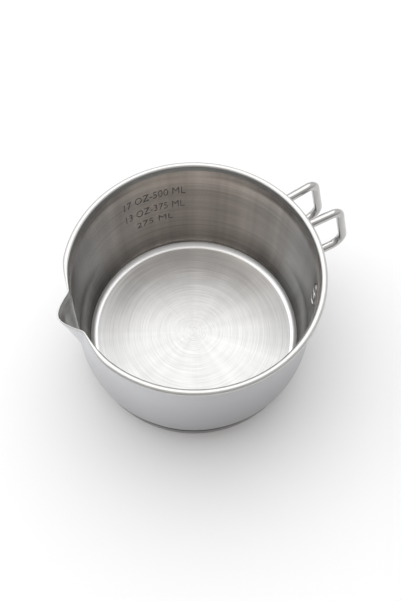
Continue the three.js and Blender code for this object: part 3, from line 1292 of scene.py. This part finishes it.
@dataclass
class VolumeMark:
    """One line of plain volume lettering on the inside of the wall."""

    name: str
    words: str
    depth: float
    length: float
    height: float

    def build(self) -> bpy.types.Object:
        """Sets the words, makes them a mesh and wraps it round the wall.

        Returns:
            The line of lettering.
        """
        words = bpy.data.curves.new(self.name, "FONT")
        words.body = self.words
        words.align_x = "CENTER"
        words.align_y = "CENTER"
        words.resolution_u = 3
        words.extrude = MARK_THICKNESS / 2
        words.offset = -MARK_THINNING
        drawn = bpy.data.objects.new(self.name, words)
        bpy.context.scene.collection.objects.link(drawn)
        mesh = evaluated_mesh(drawn)
        bpy.data.objects.remove(drawn)
        body = bmesh.new()
        body.from_mesh(mesh)
        bmesh.ops.remove_doubles(body, verts=body.verts, dist=MERGE_DISTANCE)
        bmesh.ops.recalc_face_normals(body, faces=body.faces)
        low = Vector([min(v.co[i] for v in body.verts) for i in range(3)])
        high = Vector([max(v.co[i] for v in body.verts) for i in range(3)])
        middle = (low + high) / 2
        level = POT_HEIGHT - self.depth
        for vertex in body.verts:
            along = (vertex.co.x - middle.x) / (high.x - low.x) * self.length
            up = (vertex.co.y - middle.y) / (high.y - low.y) * self.height
            radius = WALL_INNER - MARK_LIFT - (vertex.co.z - low.z)
            azimuth = MARK_AZIMUTH - along / WALL_INNER
            vertex.co = (radius * math.cos(azimuth), radius * math.sin(azimuth), level + up)
        made = finished(self.name, body, [MARK_OXIDE])
        made.data.shade_flat()
        return made


@dataclass(frozen=True)
class SoftLight:
    """A large soft light that faces the pot."""

    name: str
    azimuth: float
    elevation: float
    distance: float
    width: float
    height: float
    power: float

    def build(self, middle: Vector) -> None:
        """Hangs the light and turns it to the pot.

        Args:
            middle: The point that it faces.
        """
        data = bpy.data.lights.new(self.name, "AREA")
        data.shape = "RECTANGLE"
        data.size = self.width
        data.size_y = self.height
        data.energy = self.power
        lamp = bpy.data.objects.new(self.name, data)
        away = Vector(
            (
                math.cos(self.elevation) * math.cos(self.azimuth),
                math.cos(self.elevation) * math.sin(self.azimuth),
                math.sin(self.elevation),
            )
        )
        lamp.location = middle + away * self.distance
        lamp.rotation_euler = away.to_track_quat("Z", "Y").to_euler()
        bpy.context.scene.collection.objects.link(lamp)


@dataclass
class Studio:
    """Floor, lights, sky and camera."""

    camera_azimuth: float = math.radians(-23)
    camera_elevation: float = math.radians(62.6)
    camera_roll: float = math.radians(1.26)
    camera_distance: float = 410.4 * MM
    aim_right: float = 3.0 * MM
    aim_nearer: float = 12.2 * MM
    aim_height: float = 64.6 * MM
    lens: float = 53.9
    floor_size: float = 8.0
    back_azimuth: float = math.radians(67)
    front_sky: float = 0.62
    front_horizon: float = 0.15
    back_sky: float = 0.9
    back_horizon: float = 0.92
    horizon_height: float = 0.02
    sky_height: float = 0.55
    front_end: float = -0.6
    back_start: float = 0.3
    camera_side_colour: Colour = (1.0, 0.975, 0.95)

    def floor(self) -> None:
        """A wide pale floor under the pot."""
        body = bmesh.new()
        bmesh.ops.create_grid(body, x_segments=1, y_segments=1, size=self.floor_size / 2)
        ground = finished("studio_floor", body, [PALE_FLOOR])

    def sky(self) -> None:
        """A pale sky, darker towards the horizon and on the camera's side."""
        world = bpy.data.worlds.new("studio_sky")
        bpy.context.scene.world = world
        world.use_nodes = True
        graph = Graph(world.node_tree)
        output = graph.node("ShaderNodeOutputWorld")
        background = graph.node("ShaderNodeBackground")
        direction = graph.node("ShaderNodeTexCoord").outputs["Generated"]
        _, _, upwards = graph.split(direction)
        behind = (math.cos(self.back_azimuth), math.sin(self.back_azimuth), 0.0)
        backwards = graph.vector("DOT_PRODUCT", direction, behind).outputs["Value"]
        front = graph.remap(upwards, self.horizon_height, self.sky_height, self.front_horizon, self.front_sky)
        back = graph.remap(upwards, self.horizon_height, self.sky_height, self.back_horizon, self.back_sky)
        side = graph.remap(backwards, self.front_end, self.back_start, 0, 1)
        front_part = graph.math("MULTIPLY", front, graph.math("SUBTRACT", 1.0, side))
        graph.feed(background.inputs["Color"], graph.blend(side, self.camera_side_colour, WHITE))
        graph.feed(background.inputs["Strength"], graph.math("MULTIPLY_ADD", back, side, front_part))
        graph.feed(output.inputs["Surface"], background.outputs[0])

    def lights(self) -> None:
        """Soft lights: one wide one behind and above the pot, and a weaker one at the left."""
        middle = Vector((0, 0, POT_HEIGHT / 2))
        behind = SoftLight(
            name="light_behind",
            azimuth=self.back_azimuth + math.radians(16),
            elevation=math.radians(68),
            distance=1.2,
            width=1.8,
            height=1.4,
            power=10.3,
        )
        at_left = SoftLight(
            name="light_left",
            azimuth=self.back_azimuth + math.pi / 2,
            elevation=math.radians(35),
            distance=1.4,
            width=0.8,
            height=0.8,
            power=1.6,
        )
        for light in (behind, at_left):
            light.build(middle)

    def camera(self) -> None:
        """A camera that looks down into the pot from its front, slightly rolled."""
        data = bpy.data.cameras.new("studio_camera")
        data.lens = self.lens
        data.clip_start = 0.01
        data.clip_end = 50
        seat = bpy.data.objects.new("studio_camera", data)
        heading = Matrix.Rotation(self.camera_azimuth, 4, "Z")
        aim = heading @ Vector((self.aim_right, -self.aim_nearer, self.aim_height))
        tilt = Matrix.Rotation(math.pi / 2 - self.camera_elevation, 4, "X")
        roll = Matrix.Rotation(self.camera_roll, 4, "Z")
        back = Matrix.Translation((0, 0, self.camera_distance))
        seat.matrix_world = Matrix.Translation(aim) @ heading @ tilt @ back @ roll
        bpy.context.scene.collection.objects.link(seat)
        bpy.context.scene.camera = seat

    def build(self) -> None:
        """Sets up the whole studio and a plain view transform."""
        self.floor()
        self.sky()
        self.lights()
        self.camera()
        view = bpy.context.scene.view_settings
        view.view_transform = "Standard"
        view.look = "None"


@dataclass
class MeltingPot:
    """The whole pot."""

    front_hinge: float = math.radians(5.5)
    rear_hinge: float = math.radians(22)
    front_direction: float = math.radians(6)
    rear_direction: float = math.radians(12)

    def build(self) -> None:
        """Places every piece and dresses the CAD node that stays."""
        hinges = (self.front_hinge, self.rear_hinge)
        pieces: list[Piece] = [
            PotBody("pot_body", "pot", "brushed_steel_sheet"),
            BaseCap("base_cap", "pot", "brushed_steel_sheet"),
            HandleStrap("handle_strap", "pot", "pressed_steel_sheet", hinges),
            Rivet("rivet_upper", "pot", "polished_rivet", RivetHeight.UPPER),
            Rivet("rivet_lower", "pot", "polished_rivet", RivetHeight.LOWER),
            WireLoop("loop_handle_front", "front_loop", "polished_wire", hinges[0], self.front_direction),
            WireLoop("loop_handle_rear", "rear_loop", "polished_wire", hinges[1], self.rear_direction),
        ]
        for piece in pieces:
            piece.place()
        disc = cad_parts["heat_spreader_disc"]
        disc.data.materials.clear()
        disc.data.materials.append(DISC_ALUMINIUM.material())
        for mark in (
            VolumeMark("mark_500", "17 OZ-500 ML", depth=18.5 * MM, length=33 * MM, height=5.6 * MM),
            VolumeMark("mark_375", "13 OZ-375 ML", depth=30.0 * MM, length=32 * MM, height=5.6 * MM),
            VolumeMark("mark_275", "275 ML", depth=40.4 * MM, length=20 * MM, height=4.8 * MM),
        ):
            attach(mark.build(), "pot")


def main() -> None:
    """Builds the pot in its studio."""
    logging.basicConfig(level=logging.INFO)
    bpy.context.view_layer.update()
    MeltingPot().build()
    Studio().build()


if __name__ == "__main__":
    main()
